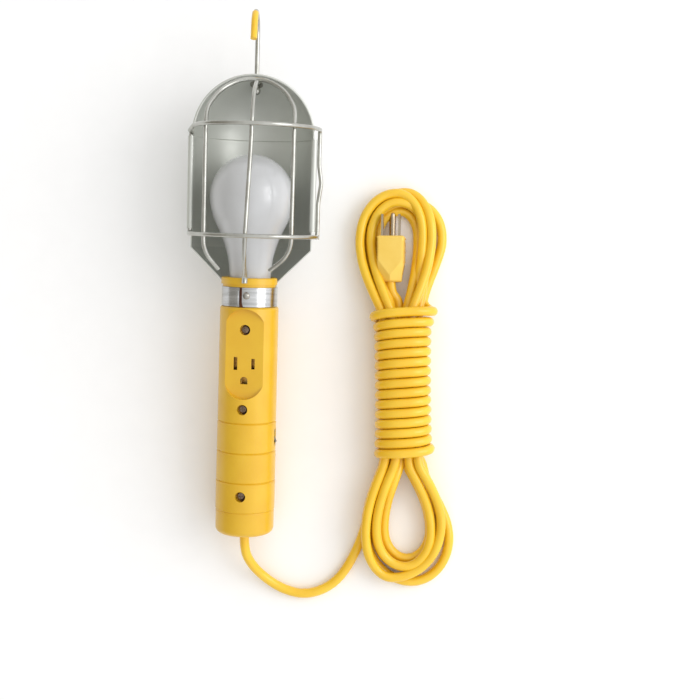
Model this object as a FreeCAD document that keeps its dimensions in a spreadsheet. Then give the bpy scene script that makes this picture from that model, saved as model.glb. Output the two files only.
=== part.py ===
import FreeCAD, Part
import math
import os
import Sketcher

# Corded work light: two-shell handle with a grounded outlet and a rocker switch, lamp socket,
# half-round reflector, hinged wire guard, swivel hook and a wrapped hank of cord with its plug.
# The light lies on its back: the back of the reflector and the rim of the handle's butt both
# touch z = 0.  In the light's own frame Z runs from the butt to the hook, -Y is the open front
# and +X is the user's right.  Millimetres throughout.

Vector = FreeCAD.Vector
Rotation = FreeCAD.Rotation
Placement = FreeCAD.Placement

DIMENSIONS = {
    # where the centre of the handle's butt lies on the table
    "butt_x": -2.15,
    "butt_y": -189.05,
    # handle
    "handle_length": 168.8,
    "butt_radius": 21.4,
    "barrel_radius": 21.7,
    "shoulder_radius": 21.1,
    "butt_corner": 4.5,
    "shell_inside": 18.7,
    "butt_face": 2.0,
    "butt_wall": 5.0,
    "groove_first": 19.9,
    "groove_pitch": 21.8,
    "groove_half": 0.8,
    "groove_depth": 0.7,
    "handle_roll": 5.0,
    "neck_radius": 18.5,
    "neck_top": 189.8,
    "ring_start": 183.2,
    "ring_step_radius": 19.5,
    "ring_wide_start": 185.0,
    "ring_radius": 20.6,
    "socket_bore": 15.0,
    "socket_seat": 166.5,
    "mouth_radius": 15.9,
    "mouth_start": 186.5,
    "cavity_top": 164.0,
    # outlet recess in the front shell
    "recess_floor": 16.2,
    "recess_half_width": 14.4,
    "recess_low": 117.4,
    "recess_high": 153.6,
    "floor_back": 13.4,
    "slot_height": 128.5,
    "slot_half_spacing": 6.35,
    "hot_slot_width": 2.4,
    "hot_slot_length": 7.6,
    "neutral_slot_width": 2.6,
    "neutral_slot_length": 9.3,
    "ground_low": 113.7,
    "ground_high": 119.1,
    "ground_radius": 2.6,
    # fasteners of the handle
    "screw_low": 32.4,
    "screw_middle": 95.8,
    "screw_high": 152.7,
    "boss_radius": 4.4,
    "screw_radius": 1.5,
    "screw_head_radius": 2.8,
    "screw_head_height": 2.0,
    "screw_reach": 9.0,
    "head_pocket_radius": 3.75,
    "barrel_seat": 15.8,
    "recess_seat": 12.6,
    # rocker switch on the right side
    "switch_height": 74.0,
    "switch_half_length": 6.4,
    "switch_half_width": 3.9,
    "switch_face": 21.0,
    "switch_back": 8.5,
    "rocker_half_length": 4.5,
    "rocker_half_width": 2.5,
    "rocker_pivot": 16.6,
    "rocker_tilt": 8.0,
    # cord and its clamp
    "cord_radius": 3.5,
    "grommet_radius": 5.4,
    "inner_end_length": 22.0,
    "clamp_height": 15.0,
    "clamp_screw_offset": 6.6,
    "wire_radius": 1.0,
    # reflector
    "sheet": 0.7,
    "reflector_radius": 43.5,
    "collar_radius": 19.3,
    "collar_low": 170.2,
    "funnel_low": 185.6,
    "dome_centre": 289.9,
    "hem_radius": 0.9,
    "tube_radius": 2.1,
    "tube_low": 223.3,
    "tube_high": 289.0,
    "hinge_x": -44.3,
    "catch_x": 43.7,
    # clamp band
    "band_low": 169.4,
    "band_high": 183.0,
    "band_inside": 19.35,
    "band_outside": 20.1,
    "band_screw_height": 177.4,
    # wire guard
    "guard_wire_radius": 1.5,
    "guard_top": 296.0,
    "guard_bottom": 220.0,
    "latch_x": 47.45,
    "latch_y": 1.5,
    "latch_bulge": 1.9,
    "rib_x": 30.6,
    "rib_bend": 208.5,
    "foot_end": 195.8,
    "hinge_clearance": 0.08,
    # swivel hook
    "hook_wire_radius": 1.7,
    "stem_y": 18.0,
    "hook_bend": 15.0,
    "hook_crown": 377.5,
    "hook_tip": 357.0,
    "sleeve_radius": 2.3,
    "sleeve_start": 34.0,
    "washer_radius": 4.6,
    "washer_thickness": 0.8,
    # bulb
    "bulb_radius": 30.0,
    "bulb_centre": 247.5,
    "glass": 0.7,
    "glass_foot": 187.0,
    "base_radius": 13.1,
    "tip_end": 167.6,
    # plug
    "plug_length": 34.0,
    "plug_half_width": 10.2,
    "plug_top": 9.0,
    "plug_bottom": 10.6,
    "blade_height": 4.6,
    "ground_pin_drop": 7.3,
    "blade_half_spacing": 6.35,
    "blade_length": 16.0,
    "ground_pin_length": 19.5,
    # hank
    "hank_x": 111.85,
    "hank_y": -77.05,
    "hank_lean": 2.2,
    "loop_height": 15.0,
    "wraps_half_length": 57.0,
    "wraps_half_width": 20.9,
    "wraps_height": 33.1,
}

doc = FreeCAD.newDocument("work_light")
sheet = doc.addObject("Spreadsheet::Sheet", "dims")
for row, (alias, value) in enumerate(DIMENSIONS.items(), start=1):
    sheet.set(f"A{row}", alias)
    sheet.set(f"B{row}", str(value))
    sheet.setAlias(f"B{row}", alias)
doc.recompute()


def size(alias):
    """The value that a cell of the sheet holds."""
    return float(getattr(sheet, alias))


def bound(expression):
    """Put the sheet's name before every alias of an expression."""
    words = []
    word = ""
    for letter in expression + " ":
        if letter.isalnum() or letter in "_.":
            word += letter
            continue
        words.append("dims." + word if word in DIMENSIONS else word)
        words.append(letter)
        word = ""
    return "".join(words).strip()


def value_of(expression):
    return float(sheet.evalExpression(bound(expression)))


# ---------------------------------------------------------------- placements

def resting_pitch():
    """The pitch at which the reflector's back and the butt's rounded rim share one plane."""
    reach = size("reflector_radius") - (size("butt_radius") - size("butt_corner"))
    funnel_edge = size("funnel_low") + size("reflector_radius") - size("collar_radius")
    run = funnel_edge - size("butt_face") - size("butt_corner")
    lean = math.atan2(reach, run)
    return lean - math.asin(size("butt_corner") / math.hypot(run, reach))


PITCH = resting_pitch()
RIM_HEIGHT = size("butt_face") + size("butt_corner")
BUTT_HEIGHT = (size("butt_radius") - size("butt_corner")) * math.cos(PITCH) \
    + size("butt_corner") - RIM_HEIGHT * math.sin(PITCH)
BUTT = Vector(size("butt_x"), size("butt_y"), BUTT_HEIGHT)
LYING = Placement(BUTT, Rotation(Vector(1, 0, 0), math.degrees(PITCH) - 90))
GRIP = LYING * Placement(Vector(0, 0, 0), Rotation(Vector(0, 0, 1), -size("handle_roll")))


# ------------------------------------------------------------ building tools

nodes = []


def keep(item, label, placement):
    """Make an object one of the light's pieces."""
    item.Label = label
    item.Placement = placement
    nodes.append(item)
    return item


def new_body(label, placement):
    return keep(doc.addObject("PartDesign::Body", label), label, placement)


def new_sketch(body, role, offset="0"):
    """A sketch on one of the body's own origin planes, moved along its normal."""
    sketch = body.newObject("Sketcher::SketchObject", body.Label + "_sketch")
    plane = [item for item in body.Origin.OriginFeatures if item.Role == role][0]
    sketch.AttachmentSupport = [(plane, "")]
    sketch.MapMode = "FlatFace"
    sketch.setExpression(".AttachmentOffset.Base.z", bound(offset))
    return sketch


def arc_through(start, end, radius):
    """The short arc between two points: counterclockwise for a positive radius."""
    middle = (start + end) * 0.5
    along = end - start
    side = Vector(-along.y, along.x, 0).normalize()
    inset = math.sqrt(max(radius * radius - (along.Length / 2) ** 2, 0))
    centre = middle + side * math.copysign(inset, radius)
    circle = Part.Circle(centre, Vector(0, 0, 1), abs(radius))
    first, last = (start, end) if radius > 0 else (end, start)
    return Part.ArcOfCircle(circle, circle.parameter(first), circle.parameter(last))


def outline(sketch, corners):
    """A closed outline from (x, y) corners; (x, y, radius) starts an arc to the next corner."""
    points = [Vector(value_of(corner[0]), value_of(corner[1]), 0) for corner in corners]
    first_edge = sketch.GeometryCount
    starts = []
    for index, corner in enumerate(corners):
        start = points[index]
        end = points[(index + 1) % len(points)]
        if len(corner) == 2:
            sketch.addGeometry(Part.LineSegment(start, end))
            starts.append(1)
            continue
        radius = value_of(corner[2])
        sketch.addGeometry(arc_through(start, end, radius))
        starts.append(1 if radius > 0 else 2)
    for index, corner in enumerate(corners):
        edge = first_edge + index
        following = (index + 1) % len(corners)
        ending = 3 - starts[index]
        sketch.addConstraint(Sketcher.Constraint(
            "Coincident", edge, ending, first_edge + following, starts[following]))
        for kind, text, number in (("DistanceX", corner[0], points[index].x),
                                   ("DistanceY", corner[1], points[index].y)):
            fixed = sketch.addConstraint(Sketcher.Constraint(
                kind, -1, 1, edge, starts[index], number))
            sketch.setExpression(f"Constraints[{fixed}]", bound(text))
        if len(corner) == 3:
            radius = abs(value_of(corner[2]))
            fixed = sketch.addConstraint(Sketcher.Constraint("Radius", edge, radius))
            sketch.setExpression(f"Constraints[{fixed}]", bound(f"abs({corner[2]})"))
    return sketch


def circle(sketch, x, y, radius):
    """A circle whose centre and radius are bound to the sheet."""
    centre = Vector(value_of(x), value_of(y), 0)
    edge = sketch.addGeometry(Part.Circle(centre, Vector(0, 0, 1), value_of(radius)))
    for kind, text, number in (("DistanceX", x, centre.x), ("DistanceY", y, centre.y)):
        fixed = sketch.addConstraint(Sketcher.Constraint(kind, -1, 1, edge, 3, number))
        sketch.setExpression(f"Constraints[{fixed}]", bound(text))
    fixed = sketch.addConstraint(Sketcher.Constraint("Radius", edge, value_of(radius)))
    sketch.setExpression(f"Constraints[{fixed}]", bound(radius))
    return sketch


def turned(body, kind, corners, angle=360, front=False):
    """Revolve an outline given as (radius, height) about the body's Z axis."""
    sketch = outline(new_sketch(body, "XZ_Plane"), corners)
    feature = body.newObject("PartDesign::" + kind, body.Label + "_" + kind.lower())
    feature.Profile = sketch
    feature.ReferenceAxis = (sketch, ["V_Axis"])
    feature.Angle = angle
    feature.Reversed = front
    return feature


def raised(body, sketch, length, flipped=False):
    """Pad a sketch along its plane's normal."""
    feature = body.newObject("PartDesign::Pad", body.Label + "_pad")
    feature.Profile = sketch
    feature.setExpression("Length", bound(length))
    feature.Reversed = flipped
    return feature


def cut(body, sketch, length, along_normal=True):
    """Pocket a sketch; along_normal cuts in the direction of its plane's normal."""
    feature = body.newObject("PartDesign::Pocket", body.Label + "_pocket")
    feature.Profile = sketch
    feature.setExpression("Length", bound(length))
    feature.Reversed = along_normal
    return feature


def rectangle(x, y, half_width, half_height):
    """Corners of an upright rectangle about (x, y)."""
    return [(f"{x} - {half_width}", f"{y} - {half_height}"),
            (f"{x} + {half_width}", f"{y} - {half_height}"),
            (f"{x} + {half_width}", f"{y} + {half_height}"),
            (f"{x} - {half_width}", f"{y} + {half_height}")]


def shaped(label, shape, placement):
    """A piece whose form neither sketches nor primitives describe."""
    item = doc.addObject("Part::Feature", label)
    item.Shape = shape
    return keep(item, label, placement)


def rounded_wire(points, radii=None):
    """Straight runs joined by tangent arcs, and the radii used.  A missing radius is as large
    as its two runs allow."""
    edges = []
    used = []
    start = points[0]
    for index in range(1, len(points) - 1):
        corner = points[index]
        back = points[index - 1] - corner
        ahead = points[index + 1] - corner
        turn = math.pi - back.getAngle(ahead)
        radius = radii[index - 1] if radii else None
        if radius is None:
            radius = 0.45 * min(back.Length, ahead.Length) / math.tan(turn / 2)
        used.append(radius)
        setback = radius * math.tan(turn / 2)
        entry = corner + back.normalize() * setback
        leave = corner + ahead.normalize() * setback
        inward = (back + ahead).normalize()
        centre = corner + inward * (radius / math.cos(turn / 2))
        if start.distanceToPoint(entry) > 1e-4:
            edges.append(Part.LineSegment(start, entry).toShape())
        edges.append(Part.Arc(entry, centre - inward * radius, leave).toShape())
        start = leave
    edges.append(Part.LineSegment(start, points[-1]).toShape())
    return Part.Wire(edges), used


def rod(points, radius, radii=None):
    """A round rod along a rounded route."""
    path, _ = rounded_wire(points, radii)
    section = Part.Wire(Part.makeCircle(radius, points[0], points[1] - points[0]))
    return path.makePipeShell([section], True, False)


def row_of(points):
    return [Vector(*point) for point in points]


# -------------------------------------------------------------------- handle

def barrel_corners(ringed):
    """Half section of the handle's outside, from the axis at the butt round to the neck."""
    corners = [("0", "butt_face"), ("butt_radius - butt_corner", "butt_face", "butt_corner"),
               ("butt_radius", "butt_face + butt_corner")]
    below = "butt_radius"
    for step in range(4):
        height = f"groove_first + {step} * groove_pitch"
        corners += [(below, f"{height} - groove_half"),
                    (f"barrel_radius - {step} * 0.13 - groove_depth", height),
                    (f"barrel_radius - {step} * 0.13", f"{height} + groove_half")]
        below = f"barrel_radius - {step} * 0.13"
    corners += [("shoulder_radius", "handle_length - 1"),
                ("shoulder_radius - 1", "handle_length"),
                ("neck_radius", "handle_length")]
    if ringed:
        corners += [("neck_radius", "ring_start"), ("ring_step_radius", "ring_start"),
                    ("ring_step_radius", "ring_wide_start"), ("ring_radius", "ring_wide_start"),
                    ("ring_radius", "neck_top - 0.6"), ("ring_radius - 0.6", "neck_top")]
    else:
        corners += [("neck_radius", "neck_top")]
    return corners + [("0", "neck_top")]


def hollow_shell(body, front):
    """The space that the cord, the socket and the wires need in one half of the handle."""
    turned(body, "Groove", [
        ("0", "socket_seat"), ("socket_bore", "socket_seat"), ("socket_bore", "mouth_start"),
        ("mouth_radius", "mouth_start"), ("mouth_radius", "neck_top + 1"),
        ("0", "neck_top + 1")], 180, front)
    turned(body, "Groove", [
        ("0", "cavity_top - 1"), ("12", "cavity_top - 1"), ("12", "socket_seat + 1"),
        ("0", "socket_seat + 1")], 180, front)
    turned(body, "Groove", [
        ("0", "-1"), ("grommet_radius + 0.05", "-1"), ("grommet_radius + 0.05", "butt_wall + 1"),
        ("0", "butt_wall + 1")], 180, front)
    opening = new_sketch(body, "YZ_Plane", "rocker_pivot - 2")
    outline(opening, rectangle("0", "switch_height", "(switch_half_width + 0.05)",
                               "(switch_half_length + 0.05)"))
    cut(body, opening, "12")


def make_handle_front():
    body = new_body("handle_front", GRIP)
    turned(body, "Revolution", barrel_corners(True), 180, True)
    low_end = "recess_low - recess_half_width - 3"
    turned(body, "Groove", [
        ("0", "butt_wall"), ("shell_inside", "butt_wall"), ("shell_inside", low_end),
        ("0", low_end)], 180, True)
    behind_recess = new_sketch(body, "XY_Plane", low_end + " - 0.1")
    edge_x = "sqrt(shell_inside * shell_inside - floor_back * floor_back)"
    outline(behind_recess, [
        ("-shell_inside", "0", "shell_inside"), (f"-{edge_x}", "-floor_back"),
        (edge_x, "-floor_back", "shell_inside"), ("shell_inside", "0")])
    cut(body, behind_recess, f"cavity_top - ({low_end})")
    hollow_shell(body, True)
    ring_ends = new_sketch(body, "XY_Plane", "ring_start")
    for side in ("", "-"):
        outline(ring_ends, rectangle(f"{side}(neck_radius + 2)", "-1.2", "2", "2"))
    cut(body, ring_ends, "neck_top - ring_start + 1")
    recess = new_sketch(body, "XZ_Plane", "recess_floor")
    outline(recess, [
        ("-recess_half_width", "recess_low", "recess_half_width"),
        ("0", "recess_low - recess_half_width", "recess_half_width"),
        ("recess_half_width", "recess_low"),
        ("recess_half_width", "recess_high", "recess_half_width"),
        ("0", "recess_high + recess_half_width", "recess_half_width"),
        ("-recess_half_width", "recess_high")])
    cut(body, recess, "10")
    slots = new_sketch(body, "XZ_Plane", "floor_back - 1")
    outline(slots, rectangle("slot_half_spacing", "slot_height", "hot_slot_width / 2",
                             "hot_slot_length / 2"))
    outline(slots, rectangle("-slot_half_spacing", "slot_height", "neutral_slot_width / 2",
                             "neutral_slot_length / 2"))
    outline(slots, [
        ("-ground_radius", "ground_low"), ("ground_radius", "ground_low"),
        ("ground_radius", "ground_high - ground_radius", "ground_radius"),
        ("0", "ground_high", "ground_radius"), ("-ground_radius", "ground_high - ground_radius")])
    cut(body, slots, "5")
    for height, length in (("screw_low", "shell_inside + 0.6"),
                           ("screw_middle", "shell_inside + 0.6"),
                           ("screw_high", "floor_back + 0.6")):
        post = circle(new_sketch(body, "XZ_Plane", "0.02"), "0", height, "boss_radius")
        raised(body, post, length)
    for height, seat in (("screw_low", "barrel_seat"), ("screw_middle", "barrel_seat"),
                         ("screw_high", "recess_seat")):
        hole = circle(new_sketch(body, "XZ_Plane", "-1"), "0", height, "screw_radius + 0.2")
        cut(body, hole, "25")
        pocket = circle(new_sketch(body, "XZ_Plane", seat), "0", height, "head_pocket_radius")
        cut(body, pocket, "8")
    return body


def make_handle_back():
    body = new_body("handle_back", GRIP)
    turned(body, "Revolution", barrel_corners(False), 180)
    turned(body, "Groove", [
        ("0", "butt_wall"), ("shell_inside", "butt_wall"), ("shell_inside", "cavity_top"),
        ("0", "cavity_top")], 180)
    hollow_shell(body, False)
    for height in ("screw_low", "screw_middle", "screw_high"):
        post = circle(new_sketch(body, "XZ_Plane", "-0.02"), "0", height, "boss_radius")
        raised(body, post, "shell_inside + 0.6", True)
        hole = circle(new_sketch(body, "XZ_Plane", "0"), "0", height, "screw_radius + 0.02")
        cut(body, hole, "screw_reach + 2", False)
    for side in ("", "-"):
        x = side + "clamp_screw_offset"
        post = circle(new_sketch(body, "XZ_Plane", "2.8"), x, "clamp_height", "2.4")
        raised(body, post, "2.8 + shell_inside - 1", True)
        hole = circle(new_sketch(body, "XZ_Plane", "2.8"), x, "clamp_height", "1.12")
        cut(body, hole, "8", False)
    return body


def cross_screw(x, height, seat, head_radius, head_height, radius, reach):
    """A pan-head screw driven along +Y from its seat, with a cross recess in the head."""
    head = Part.makeCylinder(head_radius, head_height, Vector(x, -seat, height), Vector(0, -1, 0))
    rim = [edge for edge in head.Edges if abs(edge.BoundBox.YMin + seat + head_height) < 1e-6
           and abs(edge.BoundBox.YMax + seat + head_height) < 1e-6]
    head = head.makeFillet(0.35 * head_height, rim)
    shank = Part.makeCylinder(radius, seat + reach, Vector(x, -seat, height), Vector(0, 1, 0))
    screw = head.fuse(shank)
    for half_x, half_z in ((0.62, 0.17), (0.17, 0.62)):
        arm = Part.makeBox(2 * half_x * head_radius, head_height, 2 * half_z * head_radius,
                           Vector(x - half_x * head_radius, -seat - 1.5 * head_height,
                                  height - half_z * head_radius))
        screw = screw.cut(arm)
    return screw


def make_handle_screws():
    screws = [cross_screw(0, size(height), size(seat), size("screw_head_radius"),
                          size("screw_head_height"), size("screw_radius"), size("screw_reach"))
              for height, seat in (("screw_low", "barrel_seat"), ("screw_middle", "barrel_seat"),
                                   ("screw_high", "recess_seat"))]
    return shaped("handle_screws", Part.makeCompound(screws), GRIP)


# -------------------------------------------------------------------- outlet

def make_outlet_carrier():
    """Phenolic block behind the outlet's face, with one chamber for each contact."""
    body = new_body("outlet_carrier", GRIP)
    block = outline(new_sketch(body, "XZ_Plane", "5"), rectangle("0", "125", "12", "14.5"))
    raised(body, block, "floor_back - 5.05")
    chambers = new_sketch(body, "XZ_Plane", "5.8")
    for x, height in (("slot_half_spacing", "slot_height"), ("-slot_half_spacing", "slot_height"),
                      ("0", "116.4")):
        outline(chambers, rectangle(x, height, "2.8", "4.6" if x != "0" else "3.2"))
    cut(body, chambers, "10")
    leads = new_sketch(body, "XZ_Plane", "4")
    for x, height in (("slot_half_spacing", "slot_height"), ("-slot_half_spacing", "slot_height"),
                      ("0", "116.4")):
        circle(leads, x, height, "1.3")
    cut(body, leads, "3")
    return body


def contact_clip(x, height, half_length, gap):
    """A folded brass clip: two leaves either side of the blade's way and a back bridge."""
    outer = Part.makeBox(5.0, 6.6, 2 * half_length, Vector(x - 2.5, -13.0, height - half_length))
    inner = Part.makeBox(2 * gap, 7.0, 2 * half_length + 2,
                         Vector(x - gap, -14.0, height - half_length - 1))
    return outer.cut(inner)


def make_contacts():
    spacing = size("slot_half_spacing")
    height = size("slot_height")
    shaped("contact_hot", contact_clip(spacing, height, 4.0, 1.4), GRIP)
    shaped("contact_neutral", contact_clip(-spacing, height, 4.0, 1.5), GRIP)
    shaped("contact_ground", contact_clip(0, 116.4, 2.9, 1.9), GRIP)


# -------------------------------------------------------------------- socket

def make_socket():
    cup = new_body("socket_body", GRIP)
    turned(cup, "Revolution", [
        ("0", "cavity_top - 0.6"), ("11.8", "cavity_top - 0.6"), ("11.8", "socket_seat + 0.05"),
        ("socket_bore - 0.1", "socket_seat + 0.05"), ("socket_bore - 0.1", "mouth_start - 0.5"),
        ("socket_bore - 1.05", "mouth_start - 0.5"), ("socket_bore - 1.05", "168"),
        ("10.5", "168"), ("10.5", "165.6"), ("0", "165.6")])
    holes = new_sketch(cup, "XY_Plane", "160")
    circle(holes, "7.5", "0", "1.3")
    circle(holes, "-7.5", "0", "1.3")
    cut(cup, holes, "7")
    shell = new_body("socket_shell", GRIP)
    turned(shell, "Revolution", [
        ("11", "168.05"), ("13.9", "168.05"), ("13.9", "185.8"), ("13.42", "185.8"),
        ("13.42", "168.5"), ("11", "168.5")])
    contact = new_body("socket_contact", GRIP)
    turned(contact, "Revolution", [
        ("0", "165.65"), ("5.5", "165.65"), ("5.5", "166.25"), ("3.2", "166.25"),
        ("2.2", "tip_end - 0.2"), ("0", "tip_end - 0.2")])


# -------------------------------------------------------------------- switch

def make_switch():
    """Rocker switch: bezel and case held between the shells, rocker pivoted across it."""
    case = new_body("switch_body", GRIP)
    block = outline(new_sketch(case, "YZ_Plane", "switch_back"), rectangle(
        "0", "switch_height", "switch_half_width", "switch_half_length"))
    raised(case, block, "switch_face - switch_back")
    window = outline(new_sketch(case, "YZ_Plane", "switch_back + 2.5"), rectangle(
        "0", "switch_height", "(rocker_half_width + 0.15)", "(rocker_half_length + 1.1)"))
    cut(case, window, "15")
    pin = circle(new_sketch(case, "XZ_Plane", "-switch_half_width + 0.5"),
                 "rocker_pivot", "switch_height", "1.0")
    raised(case, pin, "2 * switch_half_width - 1")

    rocker = new_body("switch_rocker", GRIP * Placement(
        Vector(size("rocker_pivot"), 0, size("switch_height")),
        Rotation(Vector(0, 1, 0), -size("rocker_tilt"))))
    profile = outline(new_sketch(rocker, "XZ_Plane", "-rocker_half_width"), [
        ("-3.4", "-1.6"), ("-3.4", "1.6"), ("0.8", "rocker_half_length"),
        ("4.8", "rocker_half_length"), ("3.6", "0"), ("4.8", "-rocker_half_length"),
        ("0.8", "-rocker_half_length")])
    raised(rocker, profile, "2 * rocker_half_width")
    bore = circle(new_sketch(rocker, "XZ_Plane", "-10"), "0", "0", "1.06")
    cut(rocker, bore, "20")


# ------------------------------------------------------------ cord's entry

def make_cord_entry():
    grommet = new_body("cord_grommet", GRIP)
    turned(grommet, "Revolution", [
        ("cord_radius", "butt_face"), ("grommet_radius", "butt_face"),
        ("grommet_radius", "butt_wall + 0.05"),
        ("grommet_radius + 1.4", "butt_wall + 0.05"), ("grommet_radius + 1.4", "butt_wall + 1.4"),
        ("cord_radius", "butt_wall + 1.4")])
    jacket = new_body("cord_inner_end", GRIP)
    turned(jacket, "Revolution", [
        ("0", "butt_face"), ("cord_radius", "butt_face"), ("cord_radius", "inner_end_length"),
        ("0", "inner_end_length")])
    clamp = new_body("cord_clamp", GRIP)
    bar = outline(new_sketch(clamp, "XZ_Plane", "2.85"), rectangle("0", "clamp_height", "9.2", "3"))
    raised(clamp, bar, "3.4")
    channel = circle(new_sketch(clamp, "XY_Plane", "5"), "0", "0", "cord_radius + 0.01")
    cut(clamp, channel, "25")
    for side in ("", "-"):
        hole = circle(new_sketch(clamp, "XZ_Plane", "0"), side + "clamp_screw_offset",
                      "clamp_height", "1.25")
        cut(clamp, hole, "10")
    screws = [cross_screw(side * size("clamp_screw_offset"), size("clamp_height"), 6.3, 2.1, 1.5,
                          1.1, 2.5) for side in (-1, 1)]
    shaped("cord_clamp_screws", Part.makeCompound(screws), GRIP)


def make_wires():
    """Insulated conductors from the cord's end to the outlet, the switch and the socket."""
    start = size("inner_end_length")
    radius = size("wire_radius")
    outlet = size("slot_height")
    spacing = size("slot_half_spacing")
    back = -6.2
    switch_foot = size("switch_height") - size("switch_half_length")
    switch_top = size("switch_height") + size("switch_half_length")
    runs = {
        "wire_neutral": [
            [(-1.9, 0.9, start), (-1.9, 0.9, 23.5), (-8.5, 2.5, 28.5), (-9.5, 5, 45),
             (-9, 4, 110), (-spacing, 0.5, outlet), (-spacing, back, outlet)],
            [(-spacing - 3.6, -3, outlet + 8), (-8.5, 4, outlet + 16), (-8.5, 3, 152),
             (-7.5, 0, 158), (-7.5, 0, 167.9)]],
        "wire_hot": [
            [(1.9, 0.9, start), (1.9, 0.9, 23.5), (8.5, 2.5, 28.5), (11.5, 2, 45),
             (11.5, 0, 54), (11.5, 0, switch_foot - 0.05)],
            [(5.9, 5.8, 54), (6.0, 7.5, 72), (7.0, 6.5, 100), (spacing, 1.5, outlet - 2),
             (spacing, back, outlet)]],
        "wire_switched": [
            [(11.5, 0, switch_top + 0.05), (11.5, 0, 88), (9.5, 7, 104), (10.5, 8, 130),
             (9.5, 5, 150), (7.5, 0, 158), (7.5, 0, 165.5)]],
        "wire_ground": [
            [(0, -2.0, start), (0, -2.0, 23.5), (-7, -5, 28), (-8.5, -6.5, 45),
             (-7.2, -5, 97), (-4.2, 1.2, 107), (0, 2.4, 116.4), (0, back, 116.4)]],
    }
    for label, routes in runs.items():
        rods = [rod(row_of(route), radius) for route in routes]
        shaped(label, rods[0] if len(rods) == 1 else Part.makeCompound(rods), GRIP)


# ----------------------------------------------------------------- reflector

def make_reflector():
    """Half-round spun shell: collar, cone, cylinder and dome, with rolled side edges."""
    body = new_body("reflector", LYING)
    cone_high = "funnel_low + reflector_radius - collar_radius"
    turned(body, "Revolution", [
        ("collar_radius - sheet", "collar_low"), ("collar_radius", "collar_low"),
        ("collar_radius", "funnel_low"), ("reflector_radius", cone_high),
        ("reflector_radius", "dome_centre", "reflector_radius"),
        ("0", "dome_centre + reflector_radius"),
        ("0", "dome_centre + reflector_radius - sheet", "-(reflector_radius - sheet)"),
        ("reflector_radius - sheet", "dome_centre"),
        ("reflector_radius - sheet", f"{cone_high} + 0.41 * sheet"),
        ("collar_radius - sheet", "funnel_low + 0.41 * sheet")], 180)
    turned(body, "Groove", [
        ("reflector_radius - sheet - 0.2", "dome_centre - 1.1"),
        ("reflector_radius - sheet + 0.3", "dome_centre - 0.5"),
        ("reflector_radius - sheet - 0.2", "dome_centre - 0.1")], 180)
    hem = circle(new_sketch(body, "XY_Plane", "dome_centre"),
                 "reflector_radius - sheet / 2", "0", "hem_radius")
    rolled = body.newObject("PartDesign::Revolution", "reflector_hem")
    rolled.Profile = hem
    rolled.ReferenceAxis = (hem, ["V_Axis"])
    rolled.Angle = 180
    rolled.Reversed = True
    for x in ("hinge_x", "catch_x"):
        tube = circle(new_sketch(body, "XY_Plane", "tube_low"), x, "0", "tube_radius")
        raised(body, tube, "tube_high - tube_low")
    for x in ("hinge_x", "catch_x"):
        bore = circle(new_sketch(body, "XY_Plane", "tube_low - 1"), x, "0",
                      "guard_wire_radius + hinge_clearance")
        cut(body, bore, "tube_high - tube_low + 1.5")
    for x in ("hinge_x", "catch_x"):
        for end in ("tube_high", "tube_low - 6"):
            notch = circle(new_sketch(body, "XY_Plane", end), x, "0", "tube_radius + 0.4")
            cut(body, notch, "6")
    stem_hole = circle(new_sketch(body, "XY_Plane", "dome_centre"), "0", "stem_y",
                       "hook_wire_radius + 0.08")
    cut(body, stem_hole, "60")
    return body


def make_clamp_band():
    """Split strap round the reflector's collar: a turned-up left end and a screwed right end."""
    body = new_body("clamp_band", LYING)
    ring = new_sketch(body, "XY_Plane", "band_low")
    circle(ring, "0", "0", "band_outside")
    circle(ring, "0", "0", "band_inside")
    raised(body, ring, "band_high - band_low")
    gap = outline(new_sketch(body, "XZ_Plane", "10"), [
        ("-5.6", "band_low - 1"), ("-2.6", "band_low - 1"), ("-3.8", "band_low + 3"),
        ("-3.8", "band_high + 1"), ("-5.6", "band_high + 1")])
    cut(body, gap, "20")
    lip = outline(new_sketch(body, "XY_Plane", "band_low + 1.8"), [
        ("-6.5", "-18.7"), ("-5.65", "-19.1"), ("-5.65", "-22.2"), ("-6.5", "-22.2")])
    raised(body, lip, "band_high - band_low - 4")
    hole = circle(new_sketch(body, "XZ_Plane", "10"), "-0.6", "band_screw_height", "1.3")
    cut(body, hole, "20")

    screw = new_body("clamp_screw", LYING * Placement(
        Vector(-0.6, -size("band_outside") - 0.02, size("band_screw_height")),
        Rotation(Vector(1, 0, 0), 90)))
    turned(screw, "Revolution", [
        ("0", "-3.6"), ("1.1", "-3.6"), ("1.1", "0"), ("2.5", "0"),
        ("2.5", "0.5", "(2.5 * 2.5 + 1.4 * 1.4) / 2.8"), ("0", "1.9")])
    return body


# --------------------------------------------------------------------- guard

def ring_corners(height, start_drop=(0.0, 0.0)):
    """Corners outside the guard's half ring, from the hinge side round to the latch side."""
    centre = (size("hinge_x") + size("latch_x")) / 2
    radius = (size("latch_x") - size("hinge_x")) / 2
    step = math.radians(18)
    corners = []
    for index in range(10):
        angle = math.pi + step / 2 + index * step
        reach = radius / math.cos(step / 2)
        drop = start_drop[index] if index < len(start_drop) else 0.0
        corners.append(Vector(centre + reach * math.cos(angle), reach * math.sin(angle),
                              height - drop))
    return corners


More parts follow.
